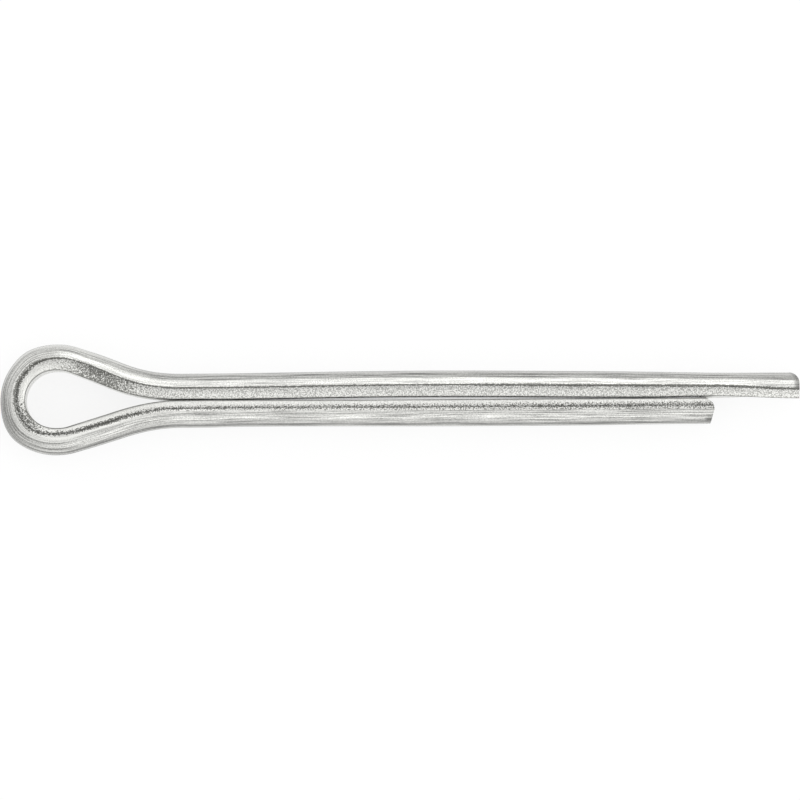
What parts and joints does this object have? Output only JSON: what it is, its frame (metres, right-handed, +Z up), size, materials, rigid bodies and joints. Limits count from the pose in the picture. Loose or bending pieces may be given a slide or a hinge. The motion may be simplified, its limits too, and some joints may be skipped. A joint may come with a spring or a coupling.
{
  "type": "cotter pin",
  "caption": "Extended-prong cotter pin: bright half-round wire folded into a round eye and a split round shank with one longer leg, to lock a nut or pin through a cross hole.",
  "frame": {"origin": "on the shank's axis, where the straight part of the shank starts below the neck", "axes": "+X along the shank from the eye to the tips, Y across the two legs with the long leg on +Y, +Z up along the width of the wire, as the pin lies flat"},
  "size_m": [0.0442, 0.0062, 0.0028],
  "materials": {
    "plated_wire": "bright zinc plate on drawn steel wire, with fine drawn lines along its round back"
  },
  "bodies": {
    "root": {"cotter_pin": "plated_wire"}
  },
  "joints": []
}
